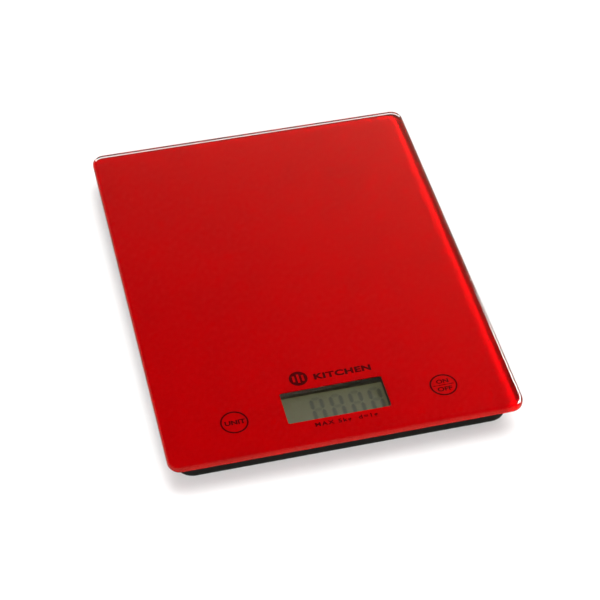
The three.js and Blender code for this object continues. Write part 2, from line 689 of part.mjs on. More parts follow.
// Each load cell's three thin wires run as one sleeved lead to the rear edge of the board.
function makeCellLead({ name, sx, sy }) {
  const boardLevel = BOARD_TOP + LEAD_RADIUS.cell + 0.05;
  const low = FLOOR_TOP + LEAD_RADIUS.cell + 0.35;
  const start = sy * (FOOT.y - CELL.depth / 2 - 0.4);
  const middle = (CELL.bottom + CELL_TOP) / 2;
  const route =
    sy > 0
      ? [
          [sx * 53.5, start, middle],
          [sx * 53.4, start - 3, middle - 0.3],
          [sx * 52, start - 9, low],
          [sx * 51, start - 25, low],
          [sx * 51, 0, low],
          [sx * 50, -42, low],
          [sx * 44, -54, low + 1],
          [sx * 40.5, -60, boardLevel],
          [sx * 40, -64.6, boardLevel],
        ]
      : [
          [sx * 53.5, start, middle],
          [sx * 53.4, start + 3, middle - 0.2],
          [sx * 52.9, start + 8, middle],
          [sx * 50, start + 11, boardLevel - 0.3],
          [sx * 46.6, start + 10.4, boardLevel],
          [sx * 45.6, start + 7, boardLevel],
        ];
  const steps = sy > 0 ? 30 : 16;
  return piece(`cell_lead_${name}`, strand(route, LEAD_RADIUS.cell, steps, 6), MATERIALS.whiteLead);
}

function makeBatteryLead(name, side, material) {
  const front = BAY.y - BAY.depth / 2;
  const top = BOARD_TOP + LEAD_RADIUS.battery + 0.05;
  const route = [
    [side * 6, front - 0.3, 7],
    [side * 7, front - 4, 6.5],
    [side * 14, front - 12, 5],
    [side * 24, front - 17, 5.2],
    [side * 30.4, front - 20.5, top],
    [side * 31, front - 24.6, top],
  ];
  return piece(`battery_lead_${name}`, strand(route, LEAD_RADIUS.battery, 16, 6), material);
}

// ---------- assembly ----------

const scale = new THREE.Group();
scale.add(makePlatform(), makeDeck(), makeBase(), makeLabel());
scale.add(makeDisplay(), makeBoard(), ...KEYS.map(makeKey));
scale.add(makeDoor(), makeBattery());
scale.add(...CORNERS.map(makeCorner), ...CORNERS.map(makeCellLead));
scale.add(makeBatteryLead("positive", 1, MATERIALS.redLead));
scale.add(makeBatteryLead("negative", -1, MATERIALS.blackLead));

const housingScrew = screwGeometry(HOUSING_SCREW);
HOUSING_SCREWS.forEach(({ x, y }, i) => {
  scale.add(piece(`housing_screw_${i + 1}`, housingScrew, MATERIALS.steel, [x, y, BASE.bottom + 0.25]));
});

export default scale;
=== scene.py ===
"""A slim glass-topped kitchen scale: looks, camera and studio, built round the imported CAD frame.

Everything is in metres in the row frame: origin on the table under the middle of the platform, +Z up,
+Y towards the back, +X to the right of a person reading the display. MM turns millimetres into metres.
"""

import json
import math

import bmesh
import bpy
from mathutils import Matrix, Vector


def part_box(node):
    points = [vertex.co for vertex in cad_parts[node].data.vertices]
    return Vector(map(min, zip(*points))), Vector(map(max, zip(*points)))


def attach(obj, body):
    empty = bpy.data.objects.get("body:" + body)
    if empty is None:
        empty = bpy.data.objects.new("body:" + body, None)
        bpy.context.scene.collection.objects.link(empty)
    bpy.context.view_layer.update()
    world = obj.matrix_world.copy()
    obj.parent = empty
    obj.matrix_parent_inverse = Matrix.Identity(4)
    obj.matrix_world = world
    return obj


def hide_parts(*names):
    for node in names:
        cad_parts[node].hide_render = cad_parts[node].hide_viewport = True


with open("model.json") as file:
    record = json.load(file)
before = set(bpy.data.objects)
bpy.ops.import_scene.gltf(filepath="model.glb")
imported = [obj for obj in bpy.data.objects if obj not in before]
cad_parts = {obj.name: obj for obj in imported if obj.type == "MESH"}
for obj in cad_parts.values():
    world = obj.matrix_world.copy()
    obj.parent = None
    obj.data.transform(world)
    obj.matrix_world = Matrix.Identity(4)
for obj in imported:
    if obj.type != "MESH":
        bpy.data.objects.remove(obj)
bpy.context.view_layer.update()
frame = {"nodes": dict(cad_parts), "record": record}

MM = 0.001
BODY = "scale_body"
CORNERS = ("front_left", "front_right", "rear_left", "rear_right")

# ---------- sizes, from the CAD boxes ----------

GLASS_LOW, GLASS_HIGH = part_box("glass_platform")
PRINT_LOW, PRINT_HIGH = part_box("printed_backing")
LCD_LOW, LCD_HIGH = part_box("lcd_front_glass")
LABEL_LOW, LABEL_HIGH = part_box("rating_label")
DOOR_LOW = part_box("battery_door")[0]
KEYS = {
    name: (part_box(f"key_pad_{name}")[0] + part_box(f"key_pad_{name}")[1]) / 2
    for name in ("unit", "power")
}
WINDOW_CENTRE = (LCD_LOW + LCD_HIGH) / 2
WINDOW = Vector((45.5 * MM, 17.5 * MM))  # the clear window in the print
PRINT_SINK = 0.05 * MM  # the print is bonded this far inside the glass's underside
LEGEND_SINK = 0.09 * MM

GLASS_CORNER = 5.5 * MM
GLASS_ROUND = (1.0 * MM, 1.5 * MM)  # below and above
PRINT_INSET = 0.55 * MM  # from the edge of the glass to the edge of the print
WINDOW_CORNER = 0.8 * MM
WINDOW_STEPS = 8
CORNER_STEPS = 24
EDGE_STEPS = 14
CREASE_ANGLE = math.radians(35)  # folds sharper than this aren't smoothed over


# ---------- mesh helpers ----------


def new_object(name, mesh):
    obj = bpy.data.objects.new(name, mesh)
    bpy.context.scene.collection.objects.link(obj)
    return obj


def rounded_outline(half_x, half_y, radius, segments):
    """Points and outward normals of a rounded rectangle, anticlockwise from the +X side."""
    points = []
    corners = ((1, 1, 0), (-1, 1, 90), (-1, -1, 180), (1, -1, 270))
    for sx, sy, start in corners:
        cx = sx * (half_x - radius)
        cy = sy * (half_y - radius)
        for i in range(segments + 1):
            a = math.radians(start + 90 * i / segments)
            n = Vector((math.cos(a), math.sin(a)))
            points.append((Vector((cx, cy)) + radius * n, n))
    return points


def rounded_slab(name, half_x, half_y, radius, profile, segments, centre=(0, 0)):
    """A closed slab with a rounded-rectangle plan. profile runs from the bottom to the top as
    (inset, z, outward normal part, upward normal part)."""
    mesh = bpy.data.meshes.new(name)
    verts, faces, normals = [], [], []
    count = 4 * (segments + 1)
    outline = rounded_outline(half_x, half_y, radius, segments)
    for inset, z, n_out, n_up in profile:
        for point, n in outline:
            p = point - n * inset
            verts.append((p.x + centre[0], p.y + centre[1], z))
            normals.append(Vector((n.x * n_out, n.y * n_out, n_up)).normalized())
    for ring in range(len(profile) - 1):
        low, high = ring * count, (ring + 1) * count
        for i in range(count):
            j = (i + 1) % count
            faces.append((low + i, low + j, high + j, high + i))
    faces.append(tuple(reversed(range(count))))
    last = (len(profile) - 1) * count
    faces.append(tuple(last + i for i in range(count)))
    mesh.from_pydata(verts, [], faces)
    mesh.shade_smooth()
    loop_normals = []
    for poly in mesh.polygons:
        flat = poly.index >= len(faces) - 2
        for v in poly.vertices:
            loop_normals.append(poly.normal.copy() if flat else normals[v])
    mesh.normals_split_custom_set(loop_normals)
    return new_object(name, mesh)


def round_profile(low, high, bottom_radius, top_radius, steps):
    """A slab profile with quarter-round bottom and top edges."""
    turns = [(math.sin(a), math.cos(a)) for a in (math.radians(90 * i / steps) for i in range(steps + 1))]
    profile = [(bottom_radius * (1 - s), low + bottom_radius * (1 - c), s, -c) for s, c in turns]
    profile += [(top_radius * (1 - c), high - top_radius * (1 - s), c, s) for s, c in turns]
    return profile


def lathe(name, profile, segments, centre):
    """A turned solid about Z from (radius, z) points that start and end on the axis."""
    mesh = bpy.data.meshes.new(name)
    bm = bmesh.new()
    rings = []
    for r, z in profile:
        if r < 1e-9:
            rings.append([bm.verts.new((centre[0], centre[1], z))])
            continue
        ring = []
        for i in range(segments):
            a = 2 * math.pi * i / segments
            ring.append(bm.verts.new((centre[0] + r * math.cos(a), centre[1] + r * math.sin(a), z)))
        rings.append(ring)
    for low, high in zip(rings, rings[1:]):
        for i in range(segments):
            j = (i + 1) % segments
            if len(low) == 1 and len(high) == 1:
                continue
            if len(low) == 1:
                bm.faces.new((low[0], high[j], high[i]))
            elif len(high) == 1:
                bm.faces.new((low[i], low[j], high[0]))
            else:
                bm.faces.new((low[i], low[j], high[j], high[i]))
    bmesh.ops.recalc_face_normals(bm, faces=bm.faces)
    bm.to_mesh(mesh)
    bm.free()
    mesh.shade_smooth()
    mesh.set_sharp_from_angle(angle=CREASE_ANGLE)
    return new_object(name, mesh)


def curve_sheet(name, loops, low, high):
    """A flat solid between low and high whose plan is filled between closed loops of (x, y) points."""
    curve = bpy.data.curves.new(name, "CURVE")
    curve.dimensions = "2D"
    curve.fill_mode = "BOTH"
    curve.extrude = (high - low) / 2
    for loop in loops:
        spline = curve.splines.new("POLY")
        spline.points.add(len(loop) - 1)
        for p, (x, y) in zip(spline.points, loop):
            p.co = (x, y, 0, 1)
        spline.use_cyclic_u = True
    holder = new_object(name + ".curve", curve)
    return curve_to_mesh(holder, name, (low + high) / 2)


def curve_to_mesh(holder, name, z, at=(0, 0)):
    bpy.context.view_layer.update()
    evaluated = holder.evaluated_get(bpy.context.evaluated_depsgraph_get())
    mesh = bpy.data.meshes.new_from_object(evaluated)
    mesh.name = name
    mesh.transform(Matrix.Translation((at[0], at[1], z)))
    data = holder.data
    bpy.data.objects.remove(holder)
    bpy.data.curves.remove(data)
    bm = bmesh.new()
    bm.from_mesh(mesh)
    bmesh.ops.remove_doubles(bm, verts=bm.verts, dist=1e-7)
    bmesh.ops.recalc_face_normals(bm, faces=bm.faces)
    bm.to_mesh(mesh)
    bm.free()
    return new_object(name, mesh)


def text_mesh(name, words, size, low, high, at, width=None, spacing=1.0, weight=0.0):
    """Centred lettering as a thin solid. width, if given, is the length the words are fitted to."""
    text = bpy.data.curves.new(name, "FONT")
    text.body = words
    text.size = size
    text.align_x = "CENTER"
    text.align_y = "CENTER"
    text.space_character = spacing
    text.extrude = (high - low) / 2
    text.offset = weight
    text.resolution_u = 6
    obj = curve_to_mesh(new_object(name + ".text", text), name, (low + high) / 2)
    xs = [v.co.x for v in obj.data.vertices]
    ys = [v.co.y for v in obj.data.vertices]
    middle = Vector(((min(xs) + max(xs)) / 2, (min(ys) + max(ys)) / 2, 0))
    stretch = 1 if width is None else width / (max(xs) - min(xs))
    for v in obj.data.vertices:
        v.co.x = at[0] + (v.co.x - middle.x) * stretch
        v.co.y = at[1] + (v.co.y - middle.y)
    return obj


def ring_mesh(name, centre, outer, inner, low, high, segments=72):
    """A flat ring."""
    loops = []
    for r in (outer, inner):
        angles = (2 * math.pi * i / segments for i in range(segments))
        loops.append([(centre[0] + r * math.cos(a), centre[1] + r * math.sin(a)) for a in angles])
    return curve_sheet(name, loops, low, high)


def joined(name, objects):
    """One object from several meshes."""
    mesh = bpy.data.meshes.new(name)
    bm = bmesh.new()
    for obj in objects:
        bm.from_mesh(obj.data)
    bm.to_mesh(mesh)
    bm.free()
    for obj in objects:
        old = obj.data
        bpy.data.objects.remove(obj)
        bpy.data.meshes.remove(old)
    return new_object(name, mesh)


# ---------- material helpers ----------


def math_node(tree, operation, *values):
    """The result of a sum on sockets and numbers."""
    node = tree.nodes.new("ShaderNodeMath")
    node.operation = operation
    for socket, value in zip(node.inputs, values):
        if isinstance(value, bpy.types.NodeSocket):
            tree.links.new(value, socket)
        else:
            socket.default_value = value
    return node.outputs[0]


def range_node(tree, value, source, target):
    """A value in source[0]..source[1] mapped to target[0]..target[1]. target[1] may be a socket."""
    node = tree.nodes.new("ShaderNodeMapRange")
    tree.links.new(value, node.inputs["Value"])
    node.inputs["From Min"].default_value = source[0]
    node.inputs["From Max"].default_value = source[1]
    node.inputs["To Min"].default_value = target[0]
    if isinstance(target[1], bpy.types.NodeSocket):
        tree.links.new(target[1], node.inputs["To Max"])
    else:
        node.inputs["To Max"].default_value = target[1]
    return node.outputs["Result"]


def background_node(tree, color, strength):
    node = tree.nodes.new("ShaderNodeBackground")
    node.inputs["Color"].default_value = color
    if strength is not None:
        tree.links.new(strength, node.inputs["Strength"])
    return node.outputs["Background"]


def mix_shaders(tree, factor, first, second):
    node = tree.nodes.new("ShaderNodeMixShader")
    tree.links.new(factor, node.inputs["Fac"])
    tree.links.new(first, node.inputs[1])
    tree.links.new(second, node.inputs[2])
    return node.outputs["Shader"]


class Material:
    """A node material with a Principled shader and short helpers for procedural detail."""

    def __init__(self, name):
        self.material = bpy.data.materials.new(name)
        self.material.use_nodes = True
        self.tree = self.material.node_tree
        self.shader = self.tree.nodes["Principled BSDF"]
        self.output = self.tree.nodes["Material Output"]
        self.coordinates = self.tree.nodes.new("ShaderNodeTexCoord").outputs["Object"]

    def set(self, **values):
        names = {
            "color": "Base Color",
            "roughness": "Roughness",
            "metallic": "Metallic",
            "ior": "IOR",
            "coat": "Coat Weight",
            "coat_roughness": "Coat Roughness",
            "transmission": "Transmission Weight",
            "specular": "Specular IOR Level",
            "anisotropic": "Anisotropic",
        }
        for key, value in values.items():
            socket = self.shader.inputs[names[key]]
            socket.default_value = (*value, 1) if key == "color" else value
        return self

    def node(self, kind, **settings):
        node = self.tree.nodes.new(kind)
        for key, value in settings.items():
            setattr(node, key, value)
        return node

    def link(self, a, b):
        self.tree.links.new(a, b)

    def noise(self, scale, detail=3.0, roughness=0.5, stretch=None):
        """Noise with that many cells per metre. stretch scales the axes before it."""
        source = self.coordinates
        if stretch is not None:
            mapping = self.node("ShaderNodeMapping")
            mapping.inputs["Scale"].default_value = stretch
            self.link(source, mapping.inputs["Vector"])
            source = mapping.outputs["Vector"]
        noise = self.node("ShaderNodeTexNoise")
        noise.inputs["Scale"].default_value = scale
        noise.inputs["Detail"].default_value = detail
        noise.inputs["Roughness"].default_value = roughness
        self.link(source, noise.inputs["Vector"])
        return noise.outputs["Fac"]

    def spread(self, value, low, high, at=(0.3, 0.7)):
        """A value in at[0]..at[1] mapped to low..high."""
        return range_node(self.tree, value, at, (low, high))

    def vary_color(self, value, first, second, at=(0.3, 0.7)):
        ramp = self.node("ShaderNodeValToRGB")
        ramp.color_ramp.elements[0].position = at[0]
        ramp.color_ramp.elements[1].position = at[1]
        ramp.color_ramp.elements[0].color = (*first, 1)
        ramp.color_ramp.elements[1].color = (*second, 1)
        self.link(value, ramp.inputs["Fac"])
        self.link(ramp.outputs["Color"], self.shader.inputs["Base Color"])
        return ramp.outputs["Color"]

    def vary_roughness(self, value, low, high):
        self.link(self.spread(value, low, high), self.shader.inputs["Roughness"])
        return self

    def bump(self, value, distance, strength=1.0):
        node = self.node("ShaderNodeBump")
        node.inputs["Distance"].default_value = distance
        node.inputs["Strength"].default_value = strength
        self.link(value, node.inputs["Height"])
        self.link(node.outputs["Normal"], self.shader.inputs["Normal"])
        return self


def paint(obj, material):
    """Puts one material on every face."""
    obj.data.materials.clear()
    obj.data.materials.append(material)
    for poly in obj.data.polygons:
        poly.material_index = 0
    return obj


# ---------- materials ----------


def make_glass(name, roughness):
    """Clear glass that lets shadow rays straight through. roughness runs from clean to smudged."""
    m = Material(name)
    m.set(color=(0.955, 0.985, 0.97), ior=1.52, transmission=1.0)
    clear = m.node("ShaderNodeBsdfTransparent")
    clear.inputs["Color"].default_value = (0.93, 0.96, 0.94, 1)
    path = m.node("ShaderNodeLightPath")
    factor = path.outputs["Is Shadow Ray"]
    mixed = mix_shaders(m.tree, factor, m.shader.outputs["BSDF"], clear.outputs["BSDF"])
    m.link(mixed, m.output.inputs["Surface"])
    smudge = m.noise(45, 4, 0.6)
    m.link(m.spread(smudge, *roughness, at=(0.5, 0.8)), m.shader.inputs["Roughness"])
    return m.material


def make_print():
    m = Material("red_enamel_print")
    m.set(roughness=0.6, specular=0.0)
    m.vary_color(m.noise(900, 4), (0.345, 0.0003, 0.0012), (0.375, 0.0004, 0.0016))
    m.bump(m.noise(6000, 2), 0.00001, 0.3)
    return m.material


def make_legend():
    m = Material("dark_legend_print")
    m.set(roughness=0.6, specular=0.0)
    m.vary_color(m.noise(4000, 2), (0.048, 0.0003, 0.0014), (0.066, 0.0004, 0.0019))
    return m.material


def make_housing():
    m = Material("black_housing_plastic")
    m.set(specular=0.12)
    m.vary_color(m.noise(220, 4), (0.0042, 0.0042, 0.0043), (0.0065, 0.0064, 0.0064))
    m.vary_roughness(m.noise(700, 3), 0.36, 0.5)
    m.bump(m.noise(5200, 3, 0.6), 0.00004, 0.35)
    return m.material


LCD_COLOR = (0.0100, 0.0095, 0.0052)
SEGMENT_COLOR = (0.0051, 0.0051, 0.0035)
# The display's own emission, as a multiple of its colour. This is painted light: the switched-off display
# glows although it is no lamp, and the glow evens out the shade its window's edges cast on it. It gives
# about half to nine tenths of the display's brightness in this studio.
LCD_PAINTED_GLOW = 8.6


def make_lcd(name, share):
    """The polariser, or a layer of a faint segment, glowing with painted light. share runs from bare
    polariser to full segment.
    """
    m = Material(name)
    m.set(coat=0.2, coat_roughness=0.25, specular=0.2, metallic=0.15)
    color = Vector(LCD_COLOR).lerp(Vector(SEGMENT_COLOR), share)
    mottled = m.vary_color(m.noise(90, 3), tuple(0.94 * color), tuple(1.06 * color))
    # painted glow: the mottled colour also feeds the emission, so the display glows by itself
    m.link(mottled, m.shader.inputs["Emission Color"])
    m.shader.inputs["Emission Strength"].default_value = LCD_PAINTED_GLOW
    m.vary_roughness(m.noise(2400, 2), 0.38, 0.46)
    return m.material


def make_rubber():
    m = Material("foot_rubber")
    m.set(specular=0.25)
    m.vary_color(m.noise(500, 4), (0.016, 0.016, 0.0165), (0.03, 0.03, 0.031))
    m.vary_roughness(m.noise(900, 3), 0.7, 0.9)
    m.bump(m.noise(4200, 4, 0.6), 0.00005, 0.5)
    return m.material


def make_foam():
    m = Material("foam_tape")
    m.set(specular=0.1)
    m.vary_color(m.noise(2500, 2), (0.006, 0.006, 0.006), (0.016, 0.016, 0.016))
    m.vary_roughness(m.noise(2500, 2), 0.85, 0.98)
    m.bump(m.noise(3500, 3), 0.0001, 0.8)
    return m.material


def make_plated():
    m = Material("plated_steel")
    m.set(metallic=1.0)
    m.vary_color(m.noise(800, 3), (0.46, 0.46, 0.45), (0.58, 0.58, 0.56))
    m.vary_roughness(m.noise(1800, 4), 0.2, 0.38)
    m.bump(m.noise(3500, 3), 0.00002, 0.3)
    return m.material


def make_stamped_steel():
    m = Material("load_cell_steel")
    m.set(metallic=1.0, anisotropic=0.4)
    m.vary_color(m.noise(400, 3), (0.36, 0.37, 0.38), (0.48, 0.49, 0.5))
    m.vary_roughness(m.noise(600, 3, stretch=(1, 30, 1)), 0.28, 0.45)
    m.bump(m.noise(900, 2, stretch=(1, 25, 1)), 0.00001, 0.3)
    return m.material


def make_label():
    m = Material("label_film")
    m.set(metallic=0.25, specular=0.4)
    m.vary_color(m.noise(300, 3), (0.50, 0.51, 0.50), (0.58, 0.59, 0.57))
    m.vary_roughness(m.noise(1200, 3), 0.35, 0.5)
    m.bump(m.noise(2500, 2), 0.00001, 0.3)
    return m.material


def make_plain(name, first, second, roughness, metallic=0.0, scale=900):
    """A plain moulded or drawn material with mottled colour, varied roughness and a fine bump."""
    m = Material(name)
    m.set(metallic=metallic)
    m.vary_color(m.noise(scale, 3), first, second)
    m.vary_roughness(m.noise(scale * 2, 3), roughness * 0.8, min(1.0, roughness * 1.2))
    m.bump(m.noise(scale * 4, 2), 0.00002, 0.3)
    return m.material


GLASS = make_glass("glass_polished", (0.0, 0.02))
GLASS_EDGE = make_glass("glass_pencil_edge", (0.10, 0.17))
PRINT = make_print()
LEGEND = make_legend()
HOUSING = make_housing()
BAR_SHARES = (0.15, 0.35, 0.5)  # how dark the layers of a faint segment are, from the lowest up
UPRIGHT_SHARES = (0.3, 0.65, 1.0)
SEGMENTS = {
    "bars": [make_lcd(f"lcd_faint_bar_{i + 1}", share) for i, share in enumerate(BAR_SHARES)],
    "uprights": [make_lcd(f"lcd_faint_upright_{i + 1}", share) for i, share in enumerate(UPRIGHT_SHARES)],
}
RUBBER = make_rubber()
PLATED = make_plated()
LABEL = make_label()
LINER = make_plain("window_liner", (0.10, 0.08, 0.062), (0.12, 0.097, 0.078), 0.8)

SLOT_MATERIALS = {
    "clear_glass": GLASS,
    "red_print": PRINT,
    "foam_tape": make_foam(),
    "black_plastic": HOUSING,
    "label_stock": LABEL,
    "lcd_glass": make_lcd("lcd_polariser", 0.0),
    "silicone_connector": make_plain("silicone_connector", (0.42, 0.34, 0.31), (0.5, 0.4, 0.37), 0.6),
    "circuit_board": make_plain("solder_mask", (0.015, 0.1, 0.035), (0.025, 0.14, 0.05), 0.35),
    "black_resin": make_plain("potting_resin", (0.006, 0.006, 0.006), (0.012, 0.012, 0.012), 0.18),
    "plated_steel": PLATED,
    "load_cell_steel": make_stamped_steel(),
    "spring_steel": make_plain("nickel_strip", (0.5, 0.48, 0.44), (0.62, 0.6, 0.55), 0.28, 1.0),
    "copper_foil": make_plain("copper_foil", (0.5, 0.24, 0.12), (0.62, 0.32, 0.17), 0.3, 1.0),
    "foot_rubber": RUBBER,
    "white_wire": make_plain("white_sleeve", (0.6, 0.59, 0.55), (0.68, 0.67, 0.62), 0.5),
    "red_wire": make_plain("red_insulation", (0.32, 0.008, 0.008), (0.42, 0.012, 0.01), 0.45),
    "black_wire": make_plain("black_insulation", (0.008, 0.008, 0.008), (0.016, 0.016, 0.016), 0.45),
}

SLOT_OF = {s["node"]: s["material_slot"] for s in frame["record"]["subparts"]}
for node_name, node_object in frame["nodes"].items():
    paint(node_object, SLOT_MATERIALS[SLOT_OF[node_name]])


WELD_DISTANCE = 0.01 * MM
SHARP_ANGLE = math.radians(40)  # edges sharper than this are rounded


def soften(node_object, width):
    """Welds a carried CAD node's split corners and rounds its edges a little, as modifiers only."""
    weld = node_object.modifiers.new("weld", "WELD")
    weld.merge_threshold = WELD_DISTANCE
    bevel = node_object.modifiers.new("edge_round", "BEVEL")
    bevel.width = width
    bevel.segments = 2
    bevel.limit_method = "ANGLE"
    bevel.angle_limit = SHARP_ANGLE
    bevel.harden_normals = True
    bevel.use_clamp_overlap = True


# ---------- platform ----------


def make_platform():
    half = (GLASS_HIGH - GLASS_LOW) / 2
    profile = round_profile(GLASS_LOW.z, GLASS_HIGH.z, *GLASS_ROUND, EDGE_STEPS)
    glass = rounded_slab("glass_platform_polished", half.x, half.y, GLASS_CORNER, profile, CORNER_STEPS)
    paint(glass, GLASS)
    glass.data.materials.append(GLASS_EDGE)
    for poly in glass.data.polygons[:-2]:  # the last two are the flat faces
        poly.material_index = 1
    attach(glass, BODY)
    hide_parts("glass_platform")

    low, high = PRINT_LOW.z, PRINT_HIGH.z + PRINT_SINK
    size = (half.x - PRINT_INSET, half.y - PRINT_INSET)
    outline = rounded_outline(*size, GLASS_CORNER - PRINT_INSET, CORNER_STEPS)
    window = rounded_outline(WINDOW.x / 2, WINDOW.y / 2, WINDOW_CORNER, WINDOW_STEPS)
    hole = [(p.x + WINDOW_CENTRE.x, p.y + WINDOW_CENTRE.y) for p, _ in window]
    sheet = curve_sheet("print_under_glass", [[(p.x, p.y) for p, _ in outline], hole], low, high)
    paint(sheet, PRINT)
    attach(sheet, BODY)
    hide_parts("printed_backing")
    return sheet


# Where the legends are measured from.
ANCHORS = {
    "unit": KEYS["unit"].xy,
    "power": KEYS["power"].xy,
    "window_front": Vector((WINDOW_CENTRE.x, WINDOW_CENTRE.y - WINDOW.y / 2)),
    "window_rear": Vector((WINDOW_CENTRE.x, WINDOW_CENTRE.y + WINDOW.y / 2)),
}
KEY_RING = (6.1 * MM, 5.35 * MM)  # outer and inner radius
KEY_BAR = (4.6 * MM, 0.17 * MM)  # half length and half width of the bar between ON and OFF
# Words, anchor, then in millimetres the offset, letter size and width, then spacing and added weight.
WORDS = (
    ("UNIT", "unit", (0.3, -0.1), 3.3, 9.0, 1.0, 0.13),
    ("ON", "power", (0, 2.1), 3.1, 5.4, 1.0, 0.09),
    ("OFF", "power", (0, -2.3), 3.1, 6.6, 1.0, 0.09),
    ("MAX 5kg  d=1g", "window_front", (1.9, -3.4), 2.9, 27.5, 1.25, 0.08),
    ("KITCHEN", "window_rear", (6.9, 6.1), 4.3, 25.6, 1.1, 0.2),
)
BADGE_RADIUS = 4.1 * MM
BADGE_OFFSET = Vector((-12.7 * MM, 6.7 * MM))
BADGE_STEPS = 60
BADGE_BARS = {"half_width": 0.12, "half_heights": (0.42, 0.6, 0.42), "pitch": 0.5}  # of the radius


def badge(centre, low, high):
    """A plain dark disc with three clear bars in it."""
    radius = BADGE_RADIUS
    angles = (2 * math.pi * i / BADGE_STEPS for i in range(BADGE_STEPS))
    loops = [[(centre.x + radius * math.cos(a), centre.y + radius * math.sin(a)) for a in angles]]
    width = BADGE_BARS["half_width"] * radius
    for i, part in enumerate(BADGE_BARS["half_heights"]):
        x = centre.x + (i - 1) * BADGE_BARS["pitch"] * radius
        y0, y1 = centre.y - part * radius, centre.y + part * radius
        loops.append([(x - width, y0), (x + width, y0), (x + width, y1), (x - width, y1)])
    return curve_sheet("badge", loops, low, high)


def make_legends():
    """Dark legends in the print: two key rings with their words, the capacity line, a plain heading."""
    low = PRINT_HIGH.z + PRINT_SINK * 0.5
    high = PRINT_HIGH.z + LEGEND_SINK
    parts = [ring_mesh("ring", centre, *KEY_RING, low, high) for centre in KEYS.values()]
    for words, anchor, offset, size, width, spacing, weight in WORDS:
        place = ANCHORS[anchor] + Vector(offset) * MM
        size, width, weight = size * MM, width * MM, weight * MM
        parts.append(text_mesh("word", words, size, low, high, place, width, spacing, weight))
    x, y = ANCHORS["power"]
    x0, x1, y0, y1 = x - KEY_BAR[0], x + KEY_BAR[0], y - KEY_BAR[1], y + KEY_BAR[1]
    bar = [(x0, y0), (x1, y0), (x1, y1), (x0, y1)]
    parts.append(curve_sheet("bar", [bar], low, high))
    parts.append(badge(ANCHORS["window_rear"] + BADGE_OFFSET, low, high))
    legends = joined("printed_legends", parts)
    paint(legends, LEGEND)
    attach(legends, BODY)
    return legends


# ---------- display ----------


def segment_loops(x, y, width, height, stroke):
    """The seven bars of one digit as pointed hexagons. (x, y) is where the centre lines of its bottom
    and left bars meet, and width and height are measured between centre lines."""
    half = stroke / 2
    gap = DIGIT_GAP

    def across(cy):
        x0, x1 = x + gap, x + width - gap
        return [
            (x0, cy), (x0 + half, cy - half), (x1 - half, cy - half),
            (x1, cy), (x1 - half, cy + half), (x0 + half, cy + half),
        ]

    def upright(cx, y0, y1):
        y0, y1 = y0 + gap, y1 - gap
        return [
            (cx, y0), (cx + half, y0 + half), (cx + half, y1 - half),
            (cx, y1), (cx - half, y1 - half), (cx - half, y0 + half),
        ]

    middle, top, right = y + height / 2, y + height, x + width
    return [
        across(y), across(middle), across(top),
        upright(x, y, middle), upright(x, middle, top),
        upright(right, y, middle), upright(right, middle, top),
    ]


DIGIT_COUNT = 4
DIGIT = Vector((4.3 * MM, 12.2 * MM))  # width and height between centre lines
DIGIT_PITCH = 8.65 * MM
DIGIT_GAP = 0.2 * MM
DIGIT_CORNER = Vector((-9.6 * MM, 2.3 * MM))  # from the middle of the window's front edge
DIGIT_STROKES = (2.3 * MM, 1.8 * MM, 1.2 * MM)
LAYER_RISE = 0.01 * MM
LAYER_THICKNESS = 0.005 * MM
SLEEVE_THICKNESS = 0.2 * MM
SLEEVE_REACH = 0.25 * MM  # how far the sleeve round the display goes under the print


def make_segments():
    """Four faint digits of a switched-off display, just over the polariser. Each bar is built of three
    thin layers that narrow and darken upwards, which gives it a soft edge."""
    digits = []
    first = WINDOW_CENTRE.x + DIGIT_CORNER.x
    bottom = WINDOW_CENTRE.y - WINDOW.y / 2 + DIGIT_CORNER.y
    for layer, stroke in enumerate(DIGIT_STROKES):
        low = LCD_HIGH.z + LAYER_RISE * (layer + 1)
        bars, uprights = [], []
        for i in range(DIGIT_COUNT):
            loops = segment_loops(first + i * DIGIT_PITCH, bottom, *DIGIT, stroke)
            bars += loops[:3]
            uprights += loops[3:]
        for kind, loops in (("bars", bars), ("uprights", uprights)):
            sheet = curve_sheet(f"display_{kind}_{layer + 1}", loops, low, low + LAYER_THICKNESS)
            paint(sheet, SEGMENTS[kind][layer])
            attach(sheet, BODY)
            digits.append(sheet)
    return digits


def make_liner():
    """The thin sleeve that hides the raw edges of print, tape and deck round the display."""
    centre = WINDOW_CENTRE
    outer = WINDOW / 2 + Vector((SLEEVE_REACH, SLEEVE_REACH))
    inner = outer - Vector((SLEEVE_THICKNESS, SLEEVE_THICKNESS))
    corners = ((-1, -1), (1, -1), (1, 1), (-1, 1))
    loops = [
        [(centre.x + sx * size.x, centre.y + sy * size.y) for sx, sy in corners] for size in (outer, inner)
    ]
    liner = curve_sheet("window_liner", loops, LCD_HIGH.z, PRINT_LOW.z)
    paint(liner, LINER)
    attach(liner, BODY)
    return liner


# ---------- underside ----------

FOOT_EDGE = 0.45 * MM
FOOT_EDGE_STEPS = 6
FOOT_SEGMENTS = 72
SCREW_SEGMENTS = 40
GROOVE = {
    "radii": (1.9 * MM, 3.7 * MM, 5.5 * MM),
    "half_width": 0.35 * MM,
    "slope": 0.1 * MM,
    "depth": 0.4 * MM,
}
SCREW = {
    "shank": 1.05 * MM,
    "head_height": 1.25 * MM,
    "cross_depth": 0.6 * MM,
    "cross": 1.5 * MM,  # half the length of a slot
    "slot": 0.3 * MM,  # half its width
}
RIDGE = {
    "count": 4,
    "first": 8 * MM,  # from the door's front edge
    "pitch": 1.7 * MM,
    "half_width": 0.4 * MM,
    "half_length": 6 * MM,
    "height": 0.35 * MM,
    "sink": 0.05 * MM,  # into the door
    "corner": 0.39 * MM,
    "edges": (0.3 * MM, 0.01 * MM),  # rounding of the crest and of the root
}
LABEL_CORNER = 1 * MM
LABEL_BORDER = (2.2 * MM, 2.6 * MM)  # its outer and inner edge, from the label's edge
LABEL_RULE = {"count": 4, "pitch": 6 * MM, "inset": 6 * MM, "width": 0.3 * MM}
